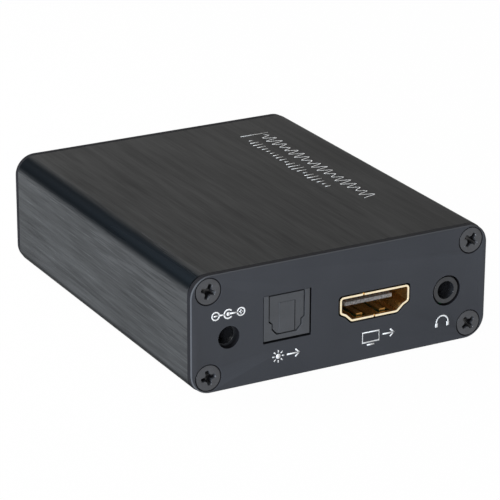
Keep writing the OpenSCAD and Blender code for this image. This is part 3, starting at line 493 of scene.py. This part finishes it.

# %% [markdown]
# The shutter's raised pad stands 0.1 mm proud. A narrow dark strip of painted shade lies in the
# corner along the pad's right side, where the shadow falls: a triangle drawn out along the side,
# sloping from the pad down to the shutter's face.

# %% Painted shade beside the shutter's pad
shutter = frame["nodes"]["optical_shutter"]
points = np.array([shutter.matrix_world @ v.co for v in shutter.data.vertices])
pad = points[points[:, 1] < points[:, 1].min() + 0.02 * MM]
pad_side, pad_face = pad[:, 0].max(), pad[0, 1]
pad_foot, pad_top = pad[:, 2].min(), pad[:, 2].max()
profile = np.array([(-0.05, 0.12), (-0.05, 0.03), (0.26, 0.12)]) * MM
shade_strip = np.array([(pad_side + x, pad_face + y, z) for z in (pad_foot, pad_top)
                   for x, y in profile])
# Painted shade: a near-black strip in the corner beside the pad.
made = piece_of("optical_shutter_painted_shade", shade_strip,
                [(0, 1, 2), (5, 4, 3), (0, 3, 4, 1), (1, 4, 5, 2), (2, 5, 3, 0)],
                "shutter", "black_plastic")
made.data.materials[0] = grained("painted_shade_black", (0.005, 0.005, 0.006), (0.012, 0.012, 0.014),
                                 (0.7, 0.85), 0.15, 0.003, 2.0, Specular_IOR_Level=0.08)
print(made.name, round((pad_top - pad_foot) / MM, 2), "mm long")

# %% [markdown]
# The printed signs are thin layers of white ink. Each is drawn with strokes: a path of points
# is widened to both sides by half the line's width, which gives a ribbon. Simple signs stand
# at the places of the words: plus and minus round a pin for the power inlet, rays of light, a
# screen with an arrow, and a pair of headphones.

# %% Strokes of ink
INK, INK_LIFT = 0.012, 0.004
finishes["ink"] = grained("white_ink", (0.78, 0.78, 0.78), (0.92, 0.92, 0.92),
                          (0.45, 0.6), 0.2, 0.003, 1.0)


def stroke(path, width=0.3, closed=False):
    """A ribbon about the path: each point is moved to both sides along the path's normal."""
    p = np.asarray(path, float)
    ahead = np.roll(p, -1, 0) - p if closed else np.gradient(p, axis=0)
    if closed:
        ahead = ahead + (p - np.roll(p, 1, 0))
    ahead /= np.linalg.norm(ahead, axis=1, keepdims=True)
    side = np.stack([-ahead[:, 1], ahead[:, 0]], -1) * width / 2
    n = len(p)
    vertices = np.concatenate([p + side, p - side])
    i = np.arange(n if closed else n - 1)
    k = (i + 1) % n
    return vertices, np.stack([i, i + n, k + n, k], -1).tolist()


def arc(x, y, r, start=0.0, end=360.0, count=33):
    """Points on a circle of radius r about (x, y), from start to end degrees."""
    t = np.radians(np.linspace(start, end, count))
    return np.stack([x + r * np.cos(t), y + r * np.sin(t)], -1)


def ring(x, y, r, width=0.3):
    """A closed ring of ink."""
    count = 32
    return stroke(arc(x, y, r, 0, 360 - 360 / count, count), width, True)


def dot(x, y, r):
    """A disc of ink, as a fan about its rim."""
    count = 24
    return arc(x, y, r, 0, 360 - 360 / count, count), [list(range(count))]


def line(*points, width=0.3):
    """A straight or bent line of ink."""
    return stroke(points, width)


def sign(name, strokes, to_space):
    """Joins the strokes, carries them to the surface, and gives the ink its thickness."""
    vertices, faces, offset = [], [], 0
    for points, cells in strokes:
        faces += [[v + offset for v in cell] for cell in cells]
        vertices.append(points)
        offset += len(points)
    points = to_space(np.concatenate(vertices)) * MM
    made = piece_of(name, points, faces, "root", "panel_aluminium")
    made.data.materials[0] = finishes["ink"]
    layer = made.modifiers.new("layer", "SOLIDIFY")
    layer.thickness, layer.offset = INK * MM, 0.0
    return made


def on_port_panel(x, z):
    """Carries sign coordinates to the port panel's face about the point (x, z) in mm."""
    face = FRONT / MM - INK_LIFT
    return lambda p: np.stack([p[:, 0] + x, np.full(len(p), face), p[:, 1] + z], -1)


def on_back_panel(x, z):
    """The same on the back panel, where the sign's own right is toward -X."""
    face = BACK / MM + INK_LIFT
    return lambda p: np.stack([-p[:, 0] + x, np.full(len(p), face), p[:, 1] + z], -1)


polarity = [ring(-2.6, 0, 0.75, 0.26), line((-3.0, 0), (-2.2, 0), width=0.26),
            line((-1.85, 0), (-0.85, 0)), stroke(arc(0, 0, 0.85, 40, 320), 0.3), dot(0, 0, 0.38),
            line((0.3, 0), (1.85, 0)), ring(2.6, 0, 0.75, 0.26),
            line((2.2, 0), (3.0, 0), width=0.26), line((2.6, -0.4), (2.6, 0.4), width=0.26)]
sun, inner, outer = -1.6, 0.75, 1.25
rays = [dot(sun, 0, 0.5)] + [
    line((sun + inner * math.cos(t), inner * math.sin(t)),
         (sun + outer * math.cos(t), outer * math.sin(t)), width=0.24)
    for t in np.radians(np.arange(0, 360, 45))] + [
    line((0.2, 0), (2.8, 0)), line((2.0, 0.75), (2.85, 0), (2.0, -0.75))]
screen_frame = np.array([(-3.4, 1.2), (-3.4, -0.8), (0.2, -0.8), (0.2, 1.2)])
screen = [stroke(screen_frame, 0.28, True), line((-2.4, -1.35), (-0.8, -1.35))]
arrow_out = [line((1.0, 0.2), (3.4, 0.2)), line((2.6, 0.95), (3.45, 0.2), (2.6, -0.55))]
arrow_in = [line((1.0, 0.2), (3.4, 0.2)), line((1.85, 0.95), (1.0, 0.2), (1.85, -0.55))]
headphones = [stroke(arc(0, -0.2, 1.3, 0, 180), 0.28),
              line((-1.25, -0.25), (-1.25, -1.1), width=0.6),
              line((1.25, -0.25), (1.25, -1.1), width=0.6)]
sign("sign_power", polarity, on_port_panel(-23.9, 14.9))
sign("sign_light", rays, on_port_panel(-11.9, 4.5))
sign("sign_video_out", screen + arrow_out, on_port_panel(7.9, 4.3))
sign("sign_audio", headphones, on_port_panel(22.1, 4.6))
sign("sign_video_in", screen + arrow_in, on_back_panel(6.0, 4.3))
print("signs on the panels: 5")

# %% [markdown]
# The top carries a print of two rows along the right edge. Here a sound wave that swells and
# fades stands in the first row, and a row of level bars in the second.

# %% Print on the top
def on_top(x, y):
    """Carries a row's own right to -Y and its up to +X, on the top face."""
    face = HEIGHT / MM + INK_LIFT
    return lambda p: np.stack([p[:, 1] + x, y - p[:, 0], np.full(len(p), face)], -1)


wave_length, wave_period, swells = 43, 2.3, 4.5
along = np.linspace(0, wave_length, 520)
swell = 0.5 + np.abs(np.sin(np.pi * along / wave_length * swells)) ** 0.7
wave = np.stack([along, swell * np.sin(2 * np.pi * along / wave_period)], -1)
sign("print_wave", [stroke(wave, 0.17)], on_top(19.4, 26.8))
bar_row, bar_step = 32.5, 1.5
bars = np.arange(0, bar_row, bar_step)
heights = 0.45 + 1.05 * np.abs(np.sin(bars * 0.42) * np.cos(bars * 0.13 + 0.4))
sign("print_bars", [line((b, -h), (b, h), width=0.2) for b, h in zip(bars, heights)]
     + [line((-3.2, -0.7), (-3.2, 5.8), width=0.17)], on_top(15.2, 24.6))
print("print on the top: wave and", len(bars), "bars")

# %% [markdown]
# The stage is a wide pale floor. The camera and mirror-like surfaces see it and the world
# behind it as white, while diffuse light sees plain grey surroundings, so that the object
# isn't flooded. A share of the floor stays an ordinary white surface and keeps the shadow.

# %% Floor, surroundings and lamps
def seen_directly(tree):
    """1 for the camera's, mirror and glass rays, 0 for diffuse light."""
    path = put(tree, "LightPath").outputs
    some = math_of(tree, "MAXIMUM", path["Is Camera Ray"], path["Is Glossy Ray"])
    return math_of(tree, "MAXIMUM", some, path["Is Transmission Ray"])


floor_finish = bpy.data.materials.new("pale_floor")
floor_finish.use_nodes = True
tree = floor_finish.node_tree
tree.nodes.remove(tree.nodes["Principled BSDF"])
matt = put(tree, "BsdfDiffuse", {"Color": (0.97, 0.97, 0.97, 1)}).outputs[0]
white = put(tree, "Emission", {"Color": (1, 1, 1, 1), "Strength": 1.0}).outputs[0]
white_share = 0.985
share = math_of(tree, "MULTIPLY", seen_directly(tree), white_share)
mixed = put(tree, "MixShader", {0: share, 1: matt, 2: white}).outputs[0]
tree.links.new(mixed, tree.nodes["Material Output"].inputs["Surface"])

reach, floor_level = 4.0, -0.05 * MM
floor_mesh = bpy.data.meshes.new("floor")
floor_mesh.from_pydata([(-reach, -reach, floor_level), (reach, -reach, floor_level),
                        (reach, reach, floor_level), (-reach, reach, floor_level)], [],
                       [(0, 1, 2, 3)])
floor_mesh.materials.append(floor_finish)
floor = bpy.data.objects.new("floor", floor_mesh)
bpy.context.scene.collection.objects.link(floor)

world = bpy.data.worlds.new("surroundings")
world.use_nodes = True
bpy.context.scene.world = world
tree = world.node_tree
grey_level = 0.20
level_of = spread(tree, seen_directly(tree), grey_level, 1.0)
tree.links.new(level_of, tree.nodes["Background"].inputs["Strength"])
tree.nodes["Background"].inputs["Color"].default_value = (1, 1, 1, 1)


def lamp(name, place, power, width, height, colour):
    """A soft lamp of width by height at place, in metres, facing the box."""
    light = bpy.data.lights.new(name, "AREA")
    light.energy, light.color = power, colour
    light.shape, light.size, light.size_y = "RECTANGLE", width, height
    made = bpy.data.objects.new(name, light)
    toward_box = Vector((0, 0, 0.01)) - Vector(place)
    made.location = place
    made.rotation_euler = toward_box.to_track_quat("-Z", "Y").to_euler()
    bpy.context.scene.collection.objects.link(made)


lamp("behind_left", (-0.13, 0.16, 0.20), 0.55, 0.22, 0.22, (1.0, 0.985, 0.96))
lamp("from_the_left", (-1.3, -0.2, 0.10), 25.0, 0.8, 0.16, (0.77, 0.875, 1.0))
lamp("from_the_front", (-0.8, -1.3, 0.35), 13.0, 0.5, 0.4, (0.96, 0.98, 1.0))
print("lamps: 3")
